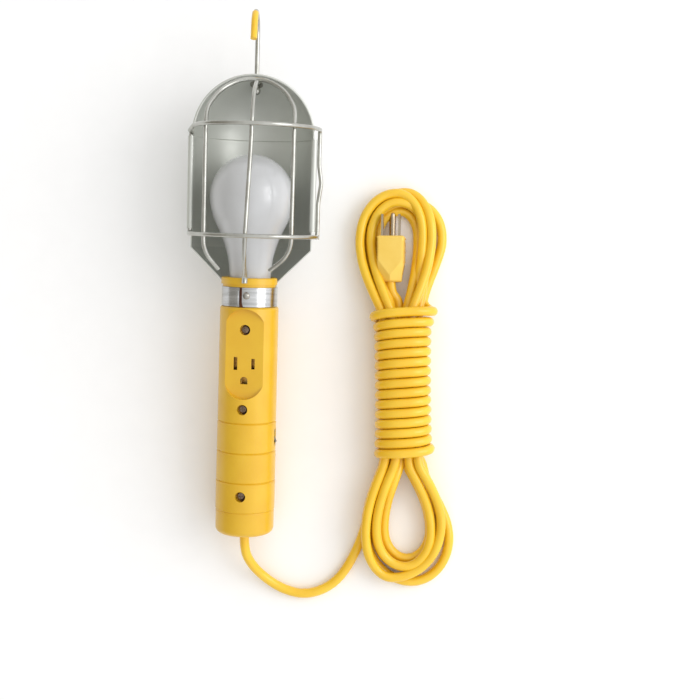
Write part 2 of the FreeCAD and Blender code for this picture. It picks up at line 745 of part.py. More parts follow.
def make_guard_frame():
    """One wire: latch side, top half ring, hinge side in the rolled tube, bottom half ring."""
    wire = size("guard_wire_radius")
    top = size("guard_top")
    low = size("guard_bottom")
    latch_x = size("latch_x")
    latch_y = size("latch_y")
    ring_radius = (latch_x - size("hinge_x")) / 2
    hinge_middle = Vector(size("hinge_x"), 0, (size("tube_low") + size("tube_high")) / 2)
    bulge = latch_x + size("latch_bulge")
    upper = row_of([
        (latch_x, latch_y, low - 1.8), (latch_x, latch_y, 244), (bulge, latch_y, 258.6),
        (latch_x, latch_y, 271), (latch_x, latch_y, top)])
    upper += list(reversed(ring_corners(top, (3.4, 0.7))))
    upper += [Vector(size("hinge_x"), 0, top - 4.0), hinge_middle]
    upper_radii = [30, 14, 30, 3.2] + [ring_radius] * 8 + [14, 3.2, 3.0]
    lower = [hinge_middle, Vector(size("hinge_x"), 0, low)]
    lower += ring_corners(low) + [Vector(latch_x, latch_y + 3.4, low)]
    lower_radii = [3.0] + [ring_radius * 0.999] * 9 + [None]
    frame = rod(upper, wire, upper_radii).fuse(rod(lower, wire, lower_radii))
    return shaped("guard_frame", frame.removeSplitter(), LYING)


def rib_depth(x):
    """How far in front of the axis a rib lies so that it is welded inside the half rings."""
    centre = (size("hinge_x") + size("latch_x")) / 2
    ring = (size("latch_x") - size("hinge_x")) / 2
    inside = ring - 2 * size("guard_wire_radius") + 0.25
    return math.sqrt(inside ** 2 - (x - centre) ** 2)


def make_guard_ribs():
    wire = size("guard_wire_radius")
    side = size("rib_x")
    bend = size("rib_bend")
    foot = size("foot_end")
    crest_base = 300.0
    crest_rise = 30.0
    crest_front = 3.2
    step = math.radians(30)
    route = []
    for index in range(6):
        angle = step / 2 + index * step
        along = math.cos(angle) / math.cos(step / 2)
        rise = math.sin(angle) / math.cos(step / 2)
        leg = rib_depth(-side) if along > 0 else rib_depth(side)
        route.append(Vector(-side * along, -(leg + (crest_front - leg) * rise),
                            crest_base + crest_rise * rise))
    legs = []
    for x, foot_x in ((-side, -20.8), (side, 15.5)):
        depth = rib_depth(x)
        inward = (bend - foot) / math.hypot(x, depth)
        legs.append([Vector(foot_x, -depth * (1 - inward), foot),
                     Vector(x, -depth, bend), Vector(x, -depth, crest_base - 4)])
    route = legs[0] + route + list(reversed(legs[1]))
    shaped("guard_u_rib", rod(route, wire), LYING)

    front = rib_depth(0)
    middle = row_of([
        (2.8, -4.2, 327.4), (2.75, -16, 326.6), (2.65, -33, 319), (2.55, -front, 300),
        (2.3, -front, 285), (-1.1, -front, bend + 1.5), (-1.7, -23.1, 187.6 + 3.0),
        (-1.8, -23.1, 186.6)])
    rib = rod(middle, wire)
    pad = Part.makeBox(3.8, 1.5, 9.0, Vector(-3.7, -23.1 - 0.75, 186.4))
    shaped("guard_center_rib", rib.fuse(pad).removeSplitter(), LYING)


# ---------------------------------------------------------------------- hook

def hook_route(first, corner_height, tip_drop=0.0):
    """The hook's wire from a first point over the bend to the tip, which leans forward."""
    across = size("stem_y") - 2 * size("hook_bend")
    tip = size("hook_tip")
    lean_start = tip + 7
    lean = Vector(0, -2.3, tip - lean_start).normalize()
    end = Vector(0, across - 2.3, tip) + lean * tip_drop
    return [first, Vector(0, across, corner_height), Vector(0, across, lean_start), end]


def make_hook():
    radius = size("hook_wire_radius")
    stem_y = size("stem_y")
    bend = size("hook_bend")
    head_z = 323.8
    stem = Vector(0, stem_y, head_z)
    crown = size("hook_crown")
    route = hook_route(Vector(0, stem_y, crown), crown)
    hook = rod([stem] + route, radius, [bend, bend, 9])
    hook = hook.fuse(Part.makeSphere(3.0, stem))
    shaped("hook", hook, LYING)
    past_crown = math.radians(size("sleeve_start"))
    sleeve_top = Vector(0, stem_y - bend * (1 + math.sin(past_crown)),
                        crown - bend * (1 - math.cos(past_crown)))
    corner_height = crown - bend + bend * math.tan((math.pi / 2 - past_crown) / 2)
    sleeve_route = hook_route(sleeve_top, corner_height, 0.9)
    sleeve = rod(sleeve_route, size("sleeve_radius"), [bend, 9]).cut(hook)
    shaped("hook_sleeve", sleeve, LYING)

    slope = math.asin(stem_y / size("reflector_radius"))
    outward = Vector(0, math.sin(slope), math.cos(slope))
    centre = Vector(0, 0, size("dome_centre"))
    outside = size("reflector_radius") + 0.02
    inside = math.sqrt((size("reflector_radius") - size("sheet")) ** 2
                       - size("washer_radius") ** 2) - 0.05 - size("washer_thickness")
    for label, distance in (("hook_washer", outside), ("hook_backing_washer", inside)):
        disc = Part.makeCylinder(size("washer_radius"), size("washer_thickness"),
                                 centre + outward * distance, outward)
        shaped(label, disc.cut(Part.makeCylinder(2.35, 60, Vector(0, stem_y, 300))), LYING)


# ---------------------------------------------------------------------- bulb

def make_bulb():
    glass = new_body("bulb_glass", LYING)
    blend = "44.8"
    flare = "77"
    turned(glass, "Revolution", [
        ("12.6", "glass_foot"), ("13.4", "glass_foot"), ("15", "189", f"-{flare}"),
        ("24.5", "226", blend), ("bulb_radius", "bulb_centre", "bulb_radius"),
        ("0", "bulb_centre + bulb_radius"),
        ("0", "bulb_centre + bulb_radius - glass", "-(bulb_radius - glass)"),
        ("bulb_radius - glass", "bulb_centre", f"-({blend} - glass)"),
        ("23.87", "226.32", f"{flare} + glass"), ("15 - glass", "189")])
    base = new_body("bulb_base", LYING)
    thread = []
    for turn in range(4):
        low = 173.2 + turn * 3.2
        thread += [("base_radius - 0.8", str(low)), ("base_radius", str(low + 1.6))]
    turned(base, "Revolution", [
        ("9.6", "172"), ("11.2", "172")] + thread + [
        ("base_radius - 0.6", "186.2"), ("base_radius", "186.95"), ("11.4", "186.95"),
        ("11.4", "173.5"), ("9.6", "172.7")])
    insulator = new_body("bulb_insulator", LYING)
    turned(insulator, "Revolution", [
        ("0", "169"), ("4.6", "169"), ("10.8", "171.95"), ("9.4", "171.95"), ("9.4", "173"),
        ("0", "173")])
    tip = new_body("bulb_tip_contact", LYING)
    turned(tip, "Revolution", [
        ("0", "tip_end"), ("3.2", "tip_end"), ("4.4", "168.3"), ("4.4", "168.95"),
        ("0", "168.95")])
    stem = new_body("bulb_stem", LYING)
    turned(stem, "Revolution", [
        ("0", "190"), ("9", "190"), ("3.4", "200"), ("2.4", "214"), ("3", "222"), ("0", "223")])
    lead_radius = 0.35
    lead_left = rod(row_of([(-1.2, 0, 223), (-2, 0, 232), (-9, 0, 246)]), lead_radius)
    lead_right = rod(row_of([(1.2, 0, 223), (2, 0, 232), (9, 0, 246)]), lead_radius)
    coil = rod(row_of([(-9, 0, 246), (-4.5, 4, 247), (4.5, 4, 247), (9, 0, 246)]), 0.5)
    filament = lead_left.fuse(lead_right).fuse(coil)
    shaped("bulb_filament", filament, LYING)


# ---------------------------------------------------------------------- plug

PLUG_CENTRE = Vector(102.3, 207.0, 12.2)
PLUG_TURN = 1.0
PLUG_ROLL = -7.0
LEAD_HEIGHT = 10.0


def make_plug():
    """Grounded plug: blades toward +Y, lying in the hank's upper loop."""
    lying = Placement(BUTT - Vector(0, 0, BUTT.z) + PLUG_CENTRE,
                      Rotation(Vector(0, 0, 1), PLUG_TURN)
                      * Rotation(Vector(0, 1, 0), PLUG_ROLL))
    half_length = "plug_length / 2"
    body = new_body("plug_body", lying)
    face = outline(new_sketch(body, "XY_Plane", "-plug_bottom"), [
        ("-plug_half_width", half_length), ("-plug_half_width", f"{half_length} - 12"),
        ("-plug_half_width + 1.2", f"{half_length} - 14"),
        ("-plug_half_width + 1.2", f"{half_length} - 24"), ("-5.5", f"-{half_length} + 2"),
        ("-4.5", f"-{half_length}"), ("4.5", f"-{half_length}"), ("5.5", f"-{half_length} + 2"),
        ("plug_half_width - 1.2", f"{half_length} - 24"),
        ("plug_half_width - 1.2", f"{half_length} - 14"),
        ("plug_half_width", f"{half_length} - 12"), ("plug_half_width", half_length)])
    raised(body, face, "plug_top + plug_bottom")
    blades = []
    for side in (-1, 1):
        blades.append(Part.makeBox(1.5, size("blade_length"), 6.35, Vector(
            side * size("blade_half_spacing") - 0.75, size("plug_length") / 2,
            size("blade_height") - 3.175)))
    shaped("plug_blades", Part.makeCompound(blades), lying)
    pin = Part.makeCylinder(2.4, size("ground_pin_length") - 2.4,
                            Vector(0, size("plug_length") / 2, -size("ground_pin_drop")),
                            Vector(0, 1, 0))
    nose = Part.makeSphere(2.4, Vector(0, size("plug_length") / 2
                                       + size("ground_pin_length") - 2.4,
                                       -size("ground_pin_drop")))
    shaped("plug_ground_pin", pin.fuse(nose), lying)


# ---------------------------------------------------------------------- cord

# route of the loose stretch, measured from the centre of the butt; z is above the table
TAIL_ROUTE = [(5.5, -24, 13), (15, -34.5, 6), (28, -43, 3.5), (44.5, -47.2, 3.5),
              (61, -42.5, 3.5), (74, -31, 3.5), (84.2, -11, 3.5)]


def make_cord_tail():
    """The stretch between the handle and the hank, leaving the butt along its axis."""
    leaving = LYING.Rotation.multVec(Vector(0, 0, -1))
    points = [BUTT - leaving * size("butt_face"), BUTT + leaving * 12]
    points += [Vector(BUTT.x + x, BUTT.y + y, z) for x, y, z in TAIL_ROUTE]
    path, radii = rounded_wire(points)
    radius = size("cord_radius")
    tube = path.makePipeShell([Part.Wire(Part.makeCircle(radius, points[0], leaving))],
                              True, False)
    print("cord tail: length", round(path.Length, 1), "radii", [round(r, 1) for r in radii],
          "volume ratio", round(tube.Volume / (math.pi * radius ** 2 * path.Length), 4))
    return shaped("cord_tail", tube, Placement())


def hank_placement():
    return Placement(Vector(size("hank_x"), size("hank_y"), 0),
                     Rotation(Vector(0, 0, 1), size("hank_lean")))


def smooth_face(points):
    """A flat face inside a closed rounded outline."""
    first = (points[0] + points[-1]) * 0.5
    path, _ = rounded_wire([first] + points + [first])
    return Part.Face(Part.Wire(path.Edges))


def make_cord_hank():
    """Outer shape of the folded cord: two fans of loops and the wraps that bind them."""
    height = size("loop_height")
    reach = size("wraps_half_length")
    upper = smooth_face(row_of([
        (-17, 40, 0), (-22, 60, 0), (-32, 84, 0), (-37.5, 110, 0), (-33, 137, 0), (-16, 151, 0),
        (12, 151.5, 0), (30, 138, 0), (35.5, 112, 0), (29.5, 84, 0), (20, 60, 0), (16, 40, 0)]))
    gap = smooth_face(row_of([
        (-8, 50, 0), (-12, 64, 0), (-21, 78, 0), (-23, 100, 0), (-22, 124, 0), (-13, 137, 0),
        (3, 137, 0), (11, 125, 0), (13, 100, 0), (9, 78, 0), (6, 64, 0), (6, 50, 0)]))
    lower = smooth_face(row_of([
        (-15, -40, 0), (-20, -62, 0), (-27.5, -88, 0), (-37, -114, 0), (-30, -136, 0),
        (-8, -149.5, 0), (20, -151.5, 0), (35, -137, 0), (39, -114, 0), (30.5, -88, 0),
        (20, -62, 0), (15, -40, 0)]))
    loops = upper.extrude(Vector(0, 0, height)).cut(
        gap.extrude(Vector(0, 0, 2 * height)).translated(Vector(0, 0, -1)))
    loops = loops.fuse(lower.extrude(Vector(0, 0, height)))
    half_width = size("wraps_half_width")
    tall = size("wraps_height")
    round_edge = 12.0
    wraps = Part.makeBox(2 * half_width, 2 * reach, tall, Vector(-half_width, -reach, 0))
    long_edges = [edge for edge in wraps.Edges if edge.BoundBox.YLength > reach]
    wraps = wraps.makeFillet(round_edge, long_edges)
    return shaped("cord_hank", loops.fuse(wraps).removeSplitter(), hank_placement())


def make_plug_lead():
    """The short stretch between the plug's back and the first wrap."""
    lying = hank_placement()
    rear = PLUG_CENTRE + BUTT - Vector(0, 0, BUTT.z)
    backward = Rotation(Vector(0, 0, 1), PLUG_TURN).multVec(Vector(0, -1, 0))
    rear = rear + backward * (size("plug_length") / 2) + Vector(0, 0, LEAD_HEIGHT - rear.z)
    reach = size("wraps_half_length")
    points = [rear, rear + backward * 7.5, lying.multVec(Vector(-3.1, reach + 7.2, LEAD_HEIGHT)),
              lying.multVec(Vector(0.4, reach, LEAD_HEIGHT))]
    path, radii = rounded_wire(points)
    print("plug lead: length", round(path.Length, 1), "radii", [round(r, 1) for r in radii])
    radius = size("cord_radius")
    section = Part.Wire(Part.makeCircle(radius, points[0], points[1] - points[0]))
    return shaped("cord_plug_lead", path.makePipeShell([section], True, False), Placement())


# ------------------------------------------------------------------ assembly

make_handle_front()
make_handle_back()
make_handle_screws()
make_outlet_carrier()
make_contacts()
make_socket()
make_switch()
make_cord_entry()
make_wires()
make_reflector()
make_clamp_band()
make_guard_frame()
make_guard_ribs()
make_hook()
make_bulb()
make_plug()
make_cord_tail()
make_cord_hank()
make_plug_lead()
doc.recompute()

faults = [item.Name for item in doc.Objects if {"Invalid", "Error"} & set(item.State)]
if faults:
    raise SystemExit(f"features that failed: {faults}")
for node in nodes:
    if node.Shape.isNull() or not node.Shape.isValid() or not node.Shape.Solids:
        raise SystemExit(f"{node.Label} has no valid solid")

os.makedirs("parts", exist_ok=True)
for node in nodes:
    node.Shape.exportStep(f"parts/{node.Label}.step")
print(len(nodes), "pieces written; pitch", round(math.degrees(PITCH), 3),
      "butt height", round(BUTT_HEIGHT, 3))
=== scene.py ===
import math

import bpy
from mathutils import Matrix, Vector


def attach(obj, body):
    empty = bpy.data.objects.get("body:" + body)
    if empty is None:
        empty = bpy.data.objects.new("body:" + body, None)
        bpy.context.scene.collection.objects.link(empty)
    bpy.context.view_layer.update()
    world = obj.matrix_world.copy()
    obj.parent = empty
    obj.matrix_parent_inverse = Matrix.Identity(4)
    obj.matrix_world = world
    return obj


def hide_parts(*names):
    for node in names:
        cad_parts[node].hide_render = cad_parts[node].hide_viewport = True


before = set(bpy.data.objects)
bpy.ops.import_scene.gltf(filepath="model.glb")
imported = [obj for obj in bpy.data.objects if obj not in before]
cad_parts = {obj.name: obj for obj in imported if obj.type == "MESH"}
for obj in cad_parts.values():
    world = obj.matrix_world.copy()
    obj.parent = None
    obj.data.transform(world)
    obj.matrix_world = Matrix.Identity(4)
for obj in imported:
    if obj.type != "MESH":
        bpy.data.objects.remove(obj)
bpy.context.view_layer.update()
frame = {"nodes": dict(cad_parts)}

# The handle: centre of its butt, its pitch on the table, the way out of its butt and the way
# its front faces.
BUTT = Vector((-0.00215, -0.18905, 0.0205996))
PITCH = math.radians(6.196687)
LEAVING = Vector((0, -math.cos(PITCH), -math.sin(PITCH)))
FACING = Vector((0, -math.sin(PITCH), math.cos(PITCH)))

# The free cord and the hank that it is wrapped into.
CORD_EXIT = BUTT - LEAVING * 0.002
CORD_DIAMETER = 0.007
HANK_CENTRE = Vector((0.11185, -0.07705, 0))
HANK_LEAN = math.radians(2.2)

# The plug, which lies inside the hank's upper loops. Its lengths are counted from the front
# face back: the lip, the ridged grip, then the taper to the rear.
PLUG_CENTRE = Vector((BUTT.x + 0.1023, BUTT.y + 0.207, 0.0122))
PLUG_TURN = math.radians(1)
PLUG_ROLL = math.radians(-7)
PLUG_HALF_LENGTH = 0.017
PLUG_HALF_WIDTH = 0.0098
PLUG_LIP = 0.0005
PLUG_LIP_LENGTH = 0.0016
PLUG_GRIP_FROM = 0.004
PLUG_GRIP_TO = 0.0205
PLUG_TAPER = 0.0016
PLUG_TAPER_FROM = 0.018
PLUG_TAPER_LENGTH = 0.014
PLUG_EDGE = 0.0012
PLUG_TOP = 0.009
PLUG_BOTTOM = 0.0106
PLUG_RIDGE = 0.0011
PLUG_RIDGE_HEIGHT = 0.0004
PLUG_CORNER = 0.0014
PLUG_SHIELD_END = 0.0042
PLUG_SHIELD_SLOPE = 0.78
PLUG_BEVEL = 0.62
PLUG_STATIONS = 124
PLUG_CORNER_STEPS = 6
PLUG_FACE_STEPS = 30
PLUG_BACK = Vector((math.sin(PLUG_TURN), -math.cos(PLUG_TURN), 0))
PLUG_REAR = PLUG_CENTRE + PLUG_BACK * PLUG_HALF_LENGTH

CAMERA_PLACE = (0.07165, -0.05075, 0.9)
CAMERA_ROLL = math.radians(1.84)
CAMERA_LENS = 61.15


# ---------------------------------------------------------------- camera

def add_camera():
    """Straight above the handle and the hank, with the hook at the top of the frame."""
    data = bpy.data.cameras.new("camera")
    data.sensor_width = 36
    data.lens = CAMERA_LENS
    camera = bpy.data.objects.new("camera", data)
    bpy.context.scene.collection.objects.link(camera)
    camera.location = CAMERA_PLACE
    camera.rotation_euler = (0, 0, CAMERA_ROLL)
    bpy.context.scene.camera = camera


# ---------------------------------------------------------------- cord

# From the butt to the hank, from the butt's own place, in metres.
TAIL = [(0.0055, -0.024, 0.013), (0.015, -0.0345, 0.006), (0.028, -0.043, 0.0035),
        (0.0445, -0.0472, 0.0035), (0.061, -0.0425, 0.0035), (0.074, -0.031, 0.0035),
        (0.0842, -0.011, 0.0035)]

# Short stretches of the hank in its own frame, in metres: under the lower loops into the
# bundle, from the first upper loop into the wraps, out of the wraps and out to the plug.
TAIL_END = (-0.0345, -0.1218, 0)
TUCK = [(-0.0295, -0.108, 0.0035), (-0.0258, -0.096, 0.0035), (-0.0208, -0.0845, 0.0035),
        (-0.016, -0.0748, 0.0035), (-0.0118, -0.0662, 0.0046)]
INTO_WRAPS = [(0.0152, 0.0655, 0.0037), (0.018, 0.0598, 0.0055), (0.0215, 0.0568, 0.0105)]
OUT_OF_WRAPS = [(0.0132, -0.0545, 0.004), (0.0154, -0.0605, 0.0038)]
TO_PLUG = [(-0.0031, 0.0655, 0.0108)]

# A strand starts to hump over the tucked tail this near it, and rises by this much. A strand
# above the first height doesn't hump; over the fade below that height the hump grows to full.
HUMP_REACH = 0.024
HUMP_HEIGHT = 0.007
HUMP_BELOW = 0.0195
HUMP_FADE = 0.009

# Where the loops meet the bundle, in millimetres along the hank from its middle.
NECK = 57

# Each loop: its left neck (across, height), left side, crest and right side (across, along,
# height), and its right neck, in millimetres in the hank's own frame. A fourth value on a side
# keeps the strand close to its neck for longer.
UPPER_LOOPS = {
    "outer_wide": ((-9.5, 8), (-24.3, 111, 3.5), (8, 139, 3.5), (31, 113, 3.5), (15, 4)),
    "outer": ((-15.5, 18.5), (-31.5, 109.5, 10.5), (-4, 145.2, 10.5), (15.9, 116, 10.5), (7.5, 10)),
    "under": ((-14.5, 11.5), (-31, 109.5, 3.5), (3, 146.5, 4.5), (22.8, 115, 10.5), (6.6, 22.5)),
    "inner": ((-8.8, 21), (-23.1, 111.5, 10.5), (-2.5, 138.5, 10.5), (19.6, 112, 3.5), (12, 15.5)),
    "lowest": ((-7.5, 14), (-17.5, 112, 3.5), (-1, 132.3, 3.5), (12.6, 112, 3.5), (3, 16.5)),
}
LOWER_LOOPS = {
    "hidden": ((-10.3, 10.8), (-21.5, -108, 3.5), (2, -136, 3.5), (24.5, -109, 3.5), (7.5, 10.5)),
    "outer": ((-14, 19), (-28.6, -110, 10.5), (-8.5, -143, 10.5), (28.4, -104, 10.5), (10.5, 21)),
    "wide": ((-14.3, 11.7), (-28.5, -108, 3.5), (6, -147.3, 3.5), (34.8, -114, 3.5, 1.7), (14, 4)),
    "inner": ((-6.3, 21), (-20.6, -107, 10.5), (1, -134.7, 10.5), (20.7, -108, 10.5), (3.5, 18.5)),
    "lowest": ((-2, 14), (-14.5, -107, 3.5), (3, -129.6, 3.5), (20.2, -108, 3.5), (1.5, 10.5)),
}

# Places in the bundle, across and height in millimetres. The tail goes up through the first,
# round FIRST_UPPER, down the wraps and round FIRST_LOWER. Each of the four turns then goes up
# its left place, round its upper loop, down its right place and round its lower loop. The last
# stretch goes up to the plug.
TAIL_PLACE = (-7, 10.5)
TAIL_NECK = (-5.2, 8.3)
FIRST_UPPER = "outer_wide"
FIRST_LOWER = "wide"
TURNS = [
    ((-10.5, 16.6), "under", (7, 22.6), "inner"),
    ((0, 22.6), "inner", (10.5, 16.6), "outer"),
    ((-7, 22.6), "outer", (7, 10.5), "hidden"),
    ((-3.5, 16.6), "lowest", (3.5, 16.6), "lowest"),
]
PLUG_PLACE = (0, 10.5)
PLUG_NECK = (-1.5, 10.5)

# Stations along the bundle, and how far the strand has moved there from its place in the
# bundle to its neck: the upper one above zero, the lower one below.
BUNDLE_STATIONS = ((57, 1), (44, 0.75), (30, 0.2), (15, 0), (-15, 0), (-30, -0.2),
                   (-44, -0.75), (-57, -1))

# The wraps: the first one's place along the hank, the spacing, the number of turns, the points
# on each turn and the turn at the waist. The last turns stand proud; the first ones flare.
WRAP_FIRST = -0.0472
WRAP_PITCH = 0.0072
WRAP_TURNS = 15
WRAP_STEPS = 16
WRAP_WAIST = 6.5
WRAP_HALF_WIDTH = 0.0178
WRAP_HALF_HEIGHT = 0.01305
WRAP_MIDDLE_HEIGHT = 0.01655
WRAP_SQUARENESS = 0.9
WRAP_WAIST_DEPTH = 0.0007
WRAP_PROUD_FROM = 12.6
WRAP_PROUD_TURNS = 1.4
WRAP_PROUD_OUT = 0.004
WRAP_FLARE_TURNS = 1.2
WRAP_FLARE_OUT = 0.0011
WRAP_TOP_GAP = 0.0007
WRAP_TOP_TURN = WRAP_TURNS - 2
WRAP_SHIFT = 0.001
WRAP_BOW = 0.001


def in_hank(u, v, z):
    """A point of the hank's own frame, in the row frame."""
    turned = Matrix.Rotation(HANK_LEAN, 3, "Z") @ Vector((u, v, 0))
    return HANK_CENTRE + turned + Vector((0, 0, z))


def eased(t):
    """From 0 to 1 with a level start and end."""
    return t * t * (3 - 2 * t)


def clamped(value):
    return max(0, min(1, value))


def distance_to_tuck(u, v):
    """How far a place in the hank is, in plan, from the line of the tucked tail."""
    best = 1.0
    here = Vector((u, v))
    line = [TAIL_END] + TUCK
    for first, second in zip(line, line[1:]):
        a = Vector(first[:2])
        b = Vector(second[:2])
        share = clamped((here - a).dot(b - a) / (b - a).length_squared)
        best = min(best, (here - a - (b - a) * share).length)
    return best


def lifted(u, v, z):
    """A loop strand humps over the tail that is tucked beneath it."""
    near = max(0, 1 - distance_to_tuck(u, v) / HUMP_REACH)
    low_enough = clamped((HUMP_BELOW - z) / HUMP_FADE)
    return (u, v, z + HUMP_HEIGHT * eased(near) * low_enough)


def side_of_loop(neck, side, crest, neck_at):
    """From the neck out to the widest place and round to the crest: nine points."""
    points = []
    for step in range(1, 6):
        share = step / 5
        out = math.sin(share * math.pi / 2) ** (side[3] if len(side) > 3 else 1)
        points.append((neck[0] + (side[0] - neck[0]) * out,
                       neck_at + (side[1] - neck_at) * share,
                       neck[1] + (side[2] - neck[1]) * eased(min(1, share * 1.15))))
    for step in range(1, 5):
        angle = step / 5 * math.pi / 2
        points.append((crest[0] + (side[0] - crest[0]) * math.cos(angle),
                       side[1] + (crest[1] - side[1]) * math.sin(angle),
                       side[2] + (crest[2] - side[2]) * eased(step / 5)))
    return points


def loop_points(loop, end, rightwards):
    """One loop beyond an end of the bundle; end is 1 for the upper fan, -1 for the lower."""
    left_neck, left_side, crest, right_side, right_neck = loop
    neck_at = end * NECK
    left = side_of_loop(left_neck, left_side, crest, neck_at)
    right = side_of_loop(right_neck, right_side, crest, neck_at)
    points = left + [crest] + right[::-1]
    if not rightwards:
        points = points[::-1]
    return [(u / 1000, v / 1000, z / 1000) for u, v, z in points]


def bundle_points(place, upper_neck, lower_neck, downwards):
    """A straight stretch through the wraps, from one neck to the other."""
    points = []
    for v, share in BUNDLE_STATIONS:
        neck = upper_neck if share > 0 else lower_neck
        blend = abs(share)
        points.append(((place[0] + (neck[0] - place[0]) * blend) / 1000, v / 1000,
                       (place[1] + (neck[1] - place[1]) * blend) / 1000))
    return points if downwards else points[::-1]


def wrap_points():
    """The close wraps, from the lower end to the proud one at the upper end."""
    points = []
    for step in range(-5, WRAP_STEPS * (WRAP_TURNS - 1) + 9):
        turn = (step - 4) / WRAP_STEPS
        angle = step / WRAP_STEPS * 2 * math.pi
        proud = clamped((turn - WRAP_PROUD_FROM) / WRAP_PROUD_TURNS)
        flare = max(0, 1 - abs(turn) / WRAP_FLARE_TURNS)
        side = math.cos(angle)
        up = math.sin(angle)
        from_waist = (turn - WRAP_WAIST) / WRAP_WAIST
        half_width = (WRAP_HALF_WIDTH + WRAP_WAIST_DEPTH * from_waist ** 2
                      + WRAP_PROUD_OUT * proud ** 1.2 + WRAP_FLARE_OUT * flare)
        middle = WRAP_SHIFT * (flare + 0.4 * proud)
        bow = WRAP_BOW * from_waist * max(0, up)
        along = (WRAP_FIRST + WRAP_PITCH * turn + bow
                 + WRAP_TOP_GAP * eased(clamped(turn - WRAP_TOP_TURN)))
        across = middle - half_width * math.copysign(abs(side) ** WRAP_SQUARENESS, side)
        height = (WRAP_MIDDLE_HEIGHT
                  + WRAP_HALF_HEIGHT * math.copysign(abs(up) ** WRAP_SQUARENESS, up))
        points.append((across, along, height))
    return points


def cord_route():
    """The whole cord from the handle's butt to the plug, as points in the row frame."""
    route = [CORD_EXIT, BUTT + LEAVING * 0.012]
    route += [Vector((BUTT.x + x, BUTT.y + y, z)) for x, y, z in TAIL]
    top = UPPER_LOOPS[FIRST_UPPER]
    low = LOWER_LOOPS[FIRST_LOWER]
    inside = list(TUCK)
    inside += bundle_points(TAIL_PLACE, top[0], TAIL_NECK, downwards=False)
    inside += loop_points(top, 1, rightwards=True)[:-3]
    inside += INTO_WRAPS
    inside += wrap_points()[::-1]
    inside += OUT_OF_WRAPS
    inside += [lifted(*p) for p in loop_points(low, -1, rightwards=False)]
    for left_place, upper, right_place, lower in TURNS:
        before = low
        top = UPPER_LOOPS[upper]
        low = LOWER_LOOPS[lower]
        inside += bundle_points(left_place, top[0], before[0], downwards=False)
        inside += loop_points(top, 1, rightwards=True)
        inside += bundle_points(right_place, top[4], low[4], downwards=True)
        inside += [lifted(*p) for p in loop_points(low, -1, rightwards=False)]
    inside += bundle_points(PLUG_PLACE, PLUG_NECK, low[0], downwards=False)
    inside += TO_PLUG
    route += [in_hank(*p) for p in inside]
    route += [PLUG_REAR + PLUG_BACK * 0.0075, PLUG_REAR - PLUG_BACK * 0.004]
    return route


def add_cord():
    """One free cord from the butt through the hank to the plug."""
    route = cord_route()
    curve = bpy.data.curves.new("cord", "CURVE")
    curve.dimensions = "3D"
    curve.bevel_depth = CORD_DIAMETER / 2
    curve.bevel_resolution = 8
    curve.resolution_u = 6
    curve.use_fill_caps = True
    spline = curve.splines.new("NURBS")
    spline.points.add(len(route) - 1)
    for point, place in zip(spline.points, route):
        point.co = (*place, 1)
    spline.order_u = 3
    spline.use_endpoint_u = True
    cord = bpy.data.objects.new("cord", curve)
    bpy.context.scene.collection.objects.link(cord)
    return cord


# ---------------------------------------------------------------- plug

def plug_half_width(y):
    """Half the plug's width at a place along it, with its front lip and the grip's ridges."""
    behind_front = PLUG_HALF_LENGTH - y
    width = PLUG_HALF_WIDTH
    if behind_front < PLUG_LIP_LENGTH:
        width += PLUG_LIP
    if PLUG_GRIP_FROM < behind_front < PLUG_GRIP_TO:
        wave = math.cos(behind_front / PLUG_RIDGE * 2 * math.pi)
        width += PLUG_RIDGE_HEIGHT * math.copysign(1, wave)
    width -= PLUG_TAPER * eased(clamped((behind_front - PLUG_TAPER_FROM) / PLUG_TAPER_LENGTH))
    return width


def plug_section(y, shrink):
    """One ring of the plug's skin: a rounded oblong with a shield-shaped flat on both faces."""
    half_width = plug_half_width(y) - shrink
    top = PLUG_TOP - shrink
    bottom = PLUG_BOTTOM - shrink
    inner = half_width - PLUG_CORNER
    ring = []
    for middle_x, middle_z, first in ((inner, top - PLUG_CORNER, 0),
                                      (-inner, top - PLUG_CORNER, 90),
                                      (-inner, PLUG_CORNER - bottom, 180),
                                      (inner, PLUG_CORNER - bottom, 270)):
        for step in range(PLUG_CORNER_STEPS + 1):
            angle = math.radians(first + step * 90 / PLUG_CORNER_STEPS)
            ring.append((middle_x + PLUG_CORNER * math.cos(angle),
                         middle_z + PLUG_CORNER * math.sin(angle)))
        if first in (0, 180):
            end = -middle_x
            ring += [(middle_x + (end - middle_x) * step / PLUG_FACE_STEPS, ring[-1][1])
                     for step in range(1, PLUG_FACE_STEPS)]
    shield = (y + PLUG_HALF_LENGTH - PLUG_SHIELD_END) * PLUG_SHIELD_SLOPE
    lowered = []
    for x, z in ring:
        limit = (top if z > 0 else bottom) - PLUG_BEVEL * max(0.0, abs(x) - shield)
        lowered.append((x, y, math.copysign(min(abs(z), limit), z)))
    return lowered


